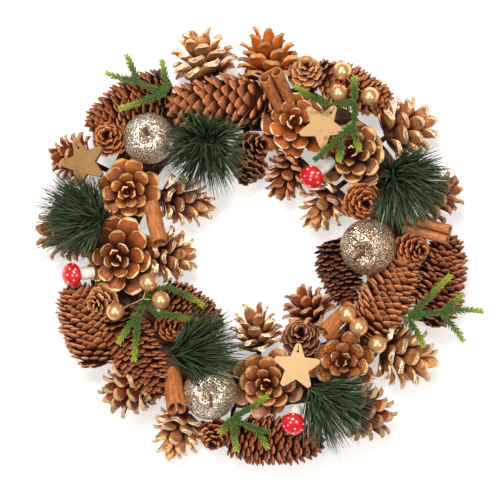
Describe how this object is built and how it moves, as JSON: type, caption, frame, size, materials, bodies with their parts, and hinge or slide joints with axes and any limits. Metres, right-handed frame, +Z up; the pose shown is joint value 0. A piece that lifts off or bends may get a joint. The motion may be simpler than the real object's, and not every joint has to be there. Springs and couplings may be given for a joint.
{
  "type": "wooden star and fruit wreath",
  "caption": "Round winter wreath: a vine ring dressed with pine cones, glittered apples, wooden stars, cinnamon, toadstools, gilded berries and greenery.",
  "frame": {"origin": "middle of the dressed wreath's outline, on the surface that its flat back rests on", "axes": "+Z up, out of the front of the wreath towards who looks at it; +Y towards the top of the wreath as it hangs in the picture, +X to its right"},
  "size_m": [0.3603, 0.3524, 0.0828],
  "materials": {
    "vine": "dry twisted twigs, rough and dull",
    "spruce_scales": "dry red-brown cone scales with paler edges, dull",
    "brown_scales": "dry dark brown cone scales with greyer tips, dull",
    "natural_scales": "dry orange-brown cone scales with cream rims, half gloss",
    "gilded_scales": "cone scales brushed with gold paint on their tips, metallic",
    "russet_scales": "small reddish rosette cones, dull",
    "champagne_glitter": "foam apple coated in champagne glitter, sparkling",
    "star_wood": "pale pressed board, sawn edges, matt",
    "cinnamon_bark": "rolled bark, fine grain, matt",
    "toadstool_red": "red lacquer with white dots, glossy",
    "toadstool_stem": "off-white turned foam, matt",
    "gilded_berries": "satin gold paint, soft shine",
    "sprig_green": "moulded green needles with yellow-green tips, half gloss",
    "needle_green": "long dark green needles, half gloss"
  },
  "bodies": {
    "root": {"vine_ring": "vine", "star_top": "star_wood", "star_bottom": "star_wood", "star_left": "star_wood", "berries_top": "gilded_berries", "berries_left": "gilded_berries", "berries_right": "gilded_berries", "toadstool_top_cap": "toadstool_red", "toadstool_top_stem": "toadstool_stem", "toadstool_bottom_cap": "toadstool_red", "toadstool_bottom_stem": "toadstool_stem", "toadstool_left_cap": "toadstool_red", "toadstool_left_stem": "toadstool_stem", "apple_right": "champagne_glitter", "apple_bottom": "champagne_glitter", "apple_left": "champagne_glitter", "cinnamon_top": "cinnamon_bark", "cinnamon_right": "cinnamon_bark", "cinnamon_inner": "cinnamon_bark", "cinnamon_bottom": "cinnamon_bark", "cinnamon_left": "cinnamon_bark", "facing_cone_top": "natural_scales", "facing_cone_right": "natural_scales", "facing_cone_bottom": "natural_scales", "facing_cone_big": "gilded_scales", "facing_cone_left": "natural_scales", "gilded_cones_lower_right": "gilded_scales", "spruce_cone_top": "spruce_scales", "cones_lower_left": "spruce_scales", "cones_right": "spruce_scales", "spruce_cone_right": "spruce_scales", "spruce_cone_inner_right": "spruce_scales", "cones_inner_top_left": "russet_scales", "cones_inner_left": "spruce_scales", "cones_upper_left": "spruce_scales", "cones_upper_right": "spruce_scales", "cones_bottom": "spruce_scales", "cones_inner_bottom": "russet_scales", "cones_inner_right": "gilded_scales", "pine_cone_top_left": "gilded_scales", "pine_cone_top": "natural_scales", "pine_cone_upper_right": "gilded_scales", "pine_cone_inner_top": "brown_scales", "pine_cone_right": "brown_scales", "pine_cone_inner_bottom": "gilded_scales", "pine_cone_bottom_right": "brown_scales", "pine_cone_bottom_left": "gilded_scales", "pine_cone_left": "brown_scales", "pine_cone_inner_left": "gilded_scales", "pine_cone_inner_upper_left": "gilded_scales", "sprig_top": "sprig_green", "sprig_right": "sprig_green", "sprig_bottom": "sprig_green", "sprig_left": "sprig_green", "sprig_upper_left": "sprig_green", "tuft_top": "needle_green", "tuft_right": "needle_green", "tuft_bottom": "needle_green", "tuft_inner": "needle_green", "tuft_left": "needle_green"}
  },
  "joints": []
}
